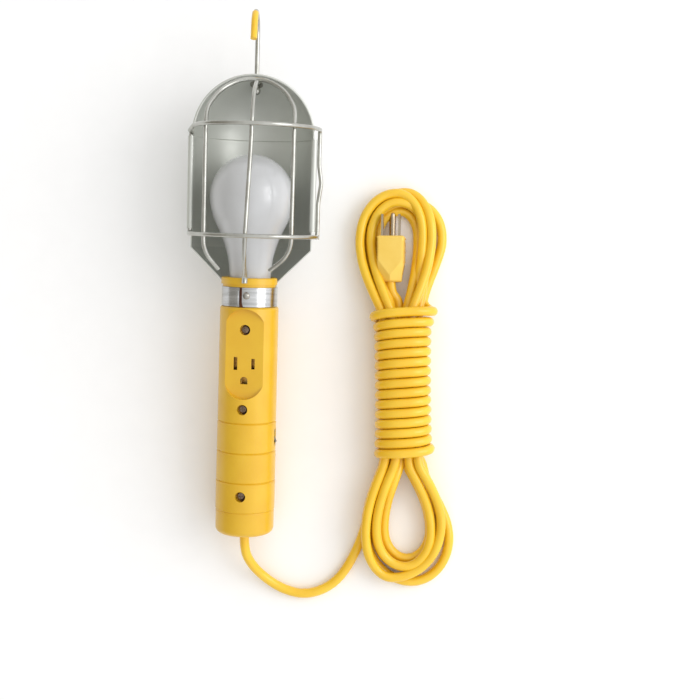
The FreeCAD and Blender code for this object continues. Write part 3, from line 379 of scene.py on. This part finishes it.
def add_plug_body():
    """Moulded plug: ridged grip on the sides and a bevelled shield on each broad face."""
    stations = []
    for step in range(PLUG_STATIONS + 1):
        y = PLUG_HALF_LENGTH - step / PLUG_STATIONS * 2 * PLUG_HALF_LENGTH
        from_end = min(step, PLUG_STATIONS - step) / PLUG_STATIONS * 2 * PLUG_HALF_LENGTH
        shrink = PLUG_EDGE * max(0, 1 - from_end / PLUG_EDGE) ** 2
        stations.append(plug_section(y, shrink))
    points = [point for ring in stations for point in ring]
    count = len(stations[0])
    faces = []
    for ring in range(len(stations) - 1):
        for side in range(count):
            after = (side + 1) % count
            faces.append((ring * count + side, ring * count + after,
                          (ring + 1) * count + after, (ring + 1) * count + side))
    faces.append(tuple(range(count - 1, -1, -1)))
    faces.append(tuple(range((len(stations) - 1) * count, len(stations) * count)))
    mesh = bpy.data.meshes.new("plug_body_moulded")
    mesh.from_pydata(points, [], faces)
    mesh.polygons.foreach_set("use_smooth", [len(face) == 4 for face in faces])
    mesh.transform(Matrix.Translation(PLUG_CENTRE) @ Matrix.Rotation(PLUG_TURN, 4, "Z")
                   @ Matrix.Rotation(PLUG_ROLL, 4, "Y"))
    mesh.update()
    plug = bpy.data.objects.new("plug_body_moulded", mesh)
    bpy.context.scene.collection.objects.link(plug)
    return plug


# ---------------------------------------------------------------- materials

def linear(red, green, blue):
    """A screen colour, 0 to 255, as the linear colour the shader needs."""
    values = []
    for channel in (red, green, blue):
        share = channel / 255
        values.append(share / 12.92 if share <= 0.04045 else ((share + 0.055) / 1.055) ** 2.4)
    return (*values, 1)


def material(name, light, dark, roughness, rough_spread=0.08, metallic=0.0, coat=0.0,
             scale=60.0, stretch=(1, 1, 1), bump=0.08, fine=900.0, fine_bump=0.04):
    """A finish whose colour, gloss and relief vary over the surface."""
    made = bpy.data.materials.new(name)
    made.use_nodes = True
    nodes = made.node_tree.nodes
    links = made.node_tree.links
    shader = nodes["Principled BSDF"]
    shader.inputs["Metallic"].default_value = metallic
    shader.inputs["Coat Weight"].default_value = coat
    shader.inputs["Coat Roughness"].default_value = 0.12
    place = nodes.new("ShaderNodeTexCoord")
    mapping = nodes.new("ShaderNodeMapping")
    mapping.inputs["Scale"].default_value = stretch
    links.new(place.outputs["Object"], mapping.inputs["Vector"])
    broad = nodes.new("ShaderNodeTexNoise")
    broad.inputs["Scale"].default_value = scale
    broad.inputs["Detail"].default_value = 6
    links.new(mapping.outputs["Vector"], broad.inputs["Vector"])
    grain = nodes.new("ShaderNodeTexNoise")
    grain.inputs["Scale"].default_value = fine
    grain.inputs["Detail"].default_value = 3
    links.new(mapping.outputs["Vector"], grain.inputs["Vector"])
    shades = nodes.new("ShaderNodeValToRGB")
    shades.color_ramp.elements[0].position = 0.3
    shades.color_ramp.elements[0].color = dark
    shades.color_ramp.elements[1].position = 0.7
    shades.color_ramp.elements[1].color = light
    links.new(broad.outputs["Fac"], shades.inputs["Fac"])
    links.new(shades.outputs["Color"], shader.inputs["Base Color"])
    gloss = nodes.new("ShaderNodeMapRange")
    gloss.inputs["To Min"].default_value = max(0.02, roughness - rough_spread)
    gloss.inputs["To Max"].default_value = roughness + rough_spread
    links.new(grain.outputs["Fac"], gloss.inputs["Value"])
    links.new(gloss.outputs["Result"], shader.inputs["Roughness"])
    relief = nodes.new("ShaderNodeBump")
    relief.inputs["Strength"].default_value = bump
    relief.inputs["Distance"].default_value = 0.0004
    links.new(broad.outputs["Fac"], relief.inputs["Height"])
    pores = nodes.new("ShaderNodeBump")
    pores.inputs["Strength"].default_value = fine_bump
    pores.inputs["Distance"].default_value = 0.0001
    links.new(grain.outputs["Fac"], pores.inputs["Height"])
    links.new(relief.outputs["Normal"], pores.inputs["Normal"])
    links.new(pores.outputs["Normal"], shader.inputs["Normal"])
    return made


def make_materials():
    made = {}
    made["handle"] = material("handle_plastic", linear(227, 181, 38), linear(222, 173, 30), 0.34,
                              coat=0.2, bump=0.05, fine=1400, fine_bump=0.05)
    made["reflector"] = material("reflector_steel", linear(214, 216, 210), linear(198, 200, 193),
                                 0.42, metallic=0.5, scale=14, stretch=(1, 0.35, 1), bump=0.02,
                                 fine=700, fine_bump=0.04)
    made["wire"] = material("wire_steel", linear(192, 193, 187), linear(168, 167, 160), 0.22,
                            metallic=1.0, scale=90, bump=0.05, fine=900)
    made["band"] = material("band_steel", linear(208, 209, 210), linear(176, 177, 176), 0.2,
                            metallic=1.0, scale=70, stretch=(0.3, 6, 0.3), bump=0.12, fine=500)
    made["screw"] = material("screw_steel", linear(186, 184, 178), linear(150, 146, 136), 0.24,
                             metallic=1.0, scale=300, bump=0.12)
    made["bronzed"] = material("bronzed_screw", linear(150, 130, 112), linear(112, 94, 78), 0.26,
                               metallic=1.0, scale=300, bump=0.1)
    # Painted shade: a dark brown that stands for the shadow in the handle's screw wells, in its
    # outlet's slots and in the clamp band's gap.
    made["well"] = material("well_painted_shade", linear(112, 62, 30), linear(92, 46, 22), 0.5,
                            scale=300, bump=0.1)
    made["switch"] = material("switch_black", linear(30, 29, 28), linear(20, 19, 19), 0.35,
                              scale=150, fine=1800)
    made["phenolic"] = material("phenolic", linear(112, 46, 28), linear(84, 32, 20), 0.4,
                                scale=200, bump=0.15)
    made["brass"] = material("brass", linear(214, 178, 104), linear(186, 146, 78), 0.28,
                             metallic=1.0, scale=160, bump=0.1)
    made["cap"] = material("cap_aluminium", linear(208, 208, 206), linear(180, 180, 178), 0.3,
                           metallic=1.0, scale=120, bump=0.12)
    made["black_glass"] = material("black_glass", linear(24, 23, 25), linear(14, 14, 16), 0.12,
                                   scale=120)
    made["tungsten"] = material("tungsten", linear(120, 116, 110), linear(88, 84, 80), 0.4,
                                metallic=1.0, scale=500)
    made["vinyl"] = material("hook_vinyl", linear(244, 196, 48), linear(238, 186, 36), 0.34,
                             coat=0.2, scale=120, bump=0.1, fine=1500)
    made["cord"] = material("cord_vinyl", linear(246, 202, 50), linear(239, 189, 34), 0.3,
                            coat=0.25, scale=45, bump=0.1, fine=1600, fine_bump=0.06)
    made["plug"] = material("plug_vinyl", linear(247, 210, 102), linear(242, 201, 86), 0.42,
                            scale=80, bump=0.08, fine=1600, fine_bump=0.08)
    made["wire_white"] = material("wire_white", linear(226, 224, 216), linear(206, 203, 194), 0.4,
                                  scale=200)
    made["wire_black"] = material("wire_black", linear(30, 30, 31), linear(20, 20, 21), 0.38,
                                  scale=200)
    made["wire_green"] = material("wire_green", linear(44, 120, 62), linear(32, 98, 48), 0.4,
                                  scale=200)
    made["blade"] = material("blade_brass", linear(192, 178, 154), linear(160, 144, 118), 0.2,
                             metallic=1.0, scale=140, stretch=(1, 0.2, 1), bump=0.02,
                             fine_bump=0.01)
    made["frosted"] = frosted_glass()
    made["clear"] = clear_glass()
    return made


def frosted_glass():
    """Inside-frosted lamp glass: a smooth skin over a milky, slightly uneven coat."""
    made = material("frosted_glass", linear(234, 235, 236), linear(226, 227, 228), 0.18,
                    rough_spread=0.05, coat=0.35, scale=40, bump=0.02, fine=2200,
                    fine_bump=0.03)
    shader = made.node_tree.nodes["Principled BSDF"]
    shader.inputs["Subsurface Weight"].default_value = 0.25
    shader.inputs["Subsurface Radius"].default_value = (0.01, 0.01, 0.01)
    shader.inputs["Transmission Weight"].default_value = 0.35
    shader.inputs["Coat Roughness"].default_value = 0.04
    return made


def clear_glass():
    made = material("clear_glass", linear(250, 250, 250), linear(244, 246, 246), 0.05,
                    rough_spread=0.02, scale=60)
    made.node_tree.nodes["Principled BSDF"].inputs["Transmission Weight"].default_value = 0.95
    return made


NODE_FINISH = {
    "handle": ["handle_front", "handle_back", "switch_body"],
    "reflector": ["reflector"],
    "wire": ["guard_frame", "guard_u_rib", "guard_center_rib", "hook"],
    "band": ["clamp_band"],
    "bronzed": ["handle_screws"],
    "screw": ["clamp_screw", "hook_washer", "hook_backing_washer", "cord_clamp_screws"],
    "switch": ["switch_rocker"],
    "phenolic": ["socket_body", "outlet_carrier"],
    "brass": ["contact_hot", "contact_neutral", "contact_ground", "socket_contact",
              "bulb_tip_contact"],
    "cap": ["socket_shell", "bulb_base"],
    "black_glass": ["bulb_insulator"],
    "frosted": ["bulb_glass"],
    "clear": ["bulb_stem"],
    "tungsten": ["bulb_filament"],
    "vinyl": ["hook_sleeve"],
    "cord": ["cord_grommet", "cord_inner_end", "cord_tail", "cord_hank", "cord_plug_lead"],
    "plug": ["plug_body"],
    "wire_white": ["wire_neutral"],
    "wire_black": ["wire_hot", "wire_switched", "cord_clamp"],
    "wire_green": ["wire_ground"],
    "blade": ["plug_blades", "plug_ground_pin"],
}

# In the handle's front: the screw wells' places along it and their radius, the middle of the
# outlet and how far its slots reach from there, and the height of the recessed outlet face.
# These place the painted shade on the walls and floors of the wells and on the slots' walls.
WELLS = (0.0324, 0.0958, 0.1527)
WELL_RADIUS = 0.00381
OUTLET_ALONG = 0.125
OUTLET_REACH = 0.0095
RECESS_FLOOR = 0.0162

# The neck's middle and half length along the handle, and the clamp band's gap across it, where
# the neck is painted with shade.
NECK_ALONG = 0.176
NECK_REACH = 0.007
GAP_ACROSS = -0.0041
GAP_REACH = 0.0025


def finish_node(node, finish):
    node.data.materials.clear()
    node.data.materials.append(finish)


def paint_shade_in_wells(node, finish):
    """The walls and floors of the screw wells, the walls of the outlet's slots, and the neck in the
    clamp band's gap take a dark finish that is painted shade, standing for the shadow in them."""
    node.data.materials.append(finish)
    for face in node.data.polygons:
        place = face.center - BUTT
        along = -place.dot(LEAVING)
        height = place.dot(FACING)
        upright = abs(face.normal.dot(FACING)) < 0.3
        sunk = height < RECESS_FLOOR - 0.0001
        nearest = min(math.hypot(place.x, along - well) for well in WELLS)
        wall = upright and nearest < WELL_RADIUS
        bottom = sunk and nearest < WELL_RADIUS * 0.95
        slot = (upright and sunk and abs(place.x) < OUTLET_REACH
                and abs(along - OUTLET_ALONG) < OUTLET_REACH)
        gap = abs(along - NECK_ALONG) < NECK_REACH and abs(place.x - GAP_ACROSS) < GAP_REACH
        if height > 0 and (wall or bottom or slot or gap):
            face.material_index = 1


# ---------------------------------------------------------------- light and floor

def add_floor():
    """A pale table top, a hair below the light so that nothing lies in the same plane."""
    mesh = bpy.data.meshes.new("floor")
    half = 4.0
    mesh.from_pydata([(-half, -half, 0), (half, -half, 0), (half, half, 0), (-half, half, 0)],
                     [], [(0, 1, 2, 3)])
    floor = bpy.data.objects.new("floor", mesh)
    bpy.context.scene.collection.objects.link(floor)
    floor.location.z = -0.0006
    made = material("floor_white", linear(253, 253, 253), linear(251, 251, 251), 0.7, bump=0.0,
                    fine_bump=0.0)
    mesh.materials.append(made)


def add_key_light():
    """One large soft light from the right, aimed at the lamp."""
    data = bpy.data.lights.new("key", "AREA")
    data.energy = 10
    data.size = 1.2
    light = bpy.data.objects.new("key", data)
    light.location = (1.5, 0.25, 1.15)
    aim = Vector((0.02, 0, 0)) - Vector(light.location)
    light.rotation_euler = aim.to_track_quat("-Z", "Y").to_euler()
    bpy.context.scene.collection.objects.link(light)


def add_studio():
    """A pale studio all round, darker on the left than on the right."""
    scene = bpy.context.scene
    scene.view_settings.view_transform = "Standard"
    world = bpy.data.worlds.new("studio")
    scene.world = world
    world.use_nodes = True
    nodes = world.node_tree.nodes
    links = world.node_tree.links
    sky = nodes["Background"]
    direction = nodes.new("ShaderNodeTexCoord")
    split = nodes.new("ShaderNodeSeparateXYZ")
    links.new(direction.outputs["Generated"], split.inputs["Vector"])
    across = nodes.new("ShaderNodeMapRange")
    across.inputs["From Min"].default_value = -1
    links.new(split.outputs["X"], across.inputs["Value"])
    tones = nodes.new("ShaderNodeValToRGB")
    tones.color_ramp.elements[0].position = 0.08
    tones.color_ramp.elements[0].color = (0.42, 0.4, 0.36, 1)
    tones.color_ramp.elements[1].position = 0.85
    tones.color_ramp.elements[1].color = (1.25, 1.25, 1.27, 1)
    middle = tones.color_ramp.elements.new(0.45)
    middle.color = (0.9, 0.9, 0.89, 1)
    links.new(across.outputs["Result"], tones.inputs["Fac"])
    links.new(tones.outputs["Color"], sky.inputs["Color"])
    sky.inputs["Strength"].default_value = 1.05


# ---------------------------------------------------------------- assembly

add_camera()
add_floor()
add_studio()
add_key_light()
finishes = make_materials()
nodes = frame["nodes"]
for finish, names in NODE_FINISH.items():
    for name in names:
        finish_node(nodes[name], finishes[finish])

plug = add_plug_body()
plug.data.materials.append(finishes["plug"])
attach(plug, "lamp")
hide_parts("plug_body")

# Painted shade: the screw wells, the outlet's slots and the clamp band's gap are darkened.
paint_shade_in_wells(nodes["handle_front"], finishes["well"])

cord = add_cord()
cord.data.materials.append(finishes["cord"])
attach(cord, "lamp")
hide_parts("cord_tail", "cord_hank", "cord_plug_lead")
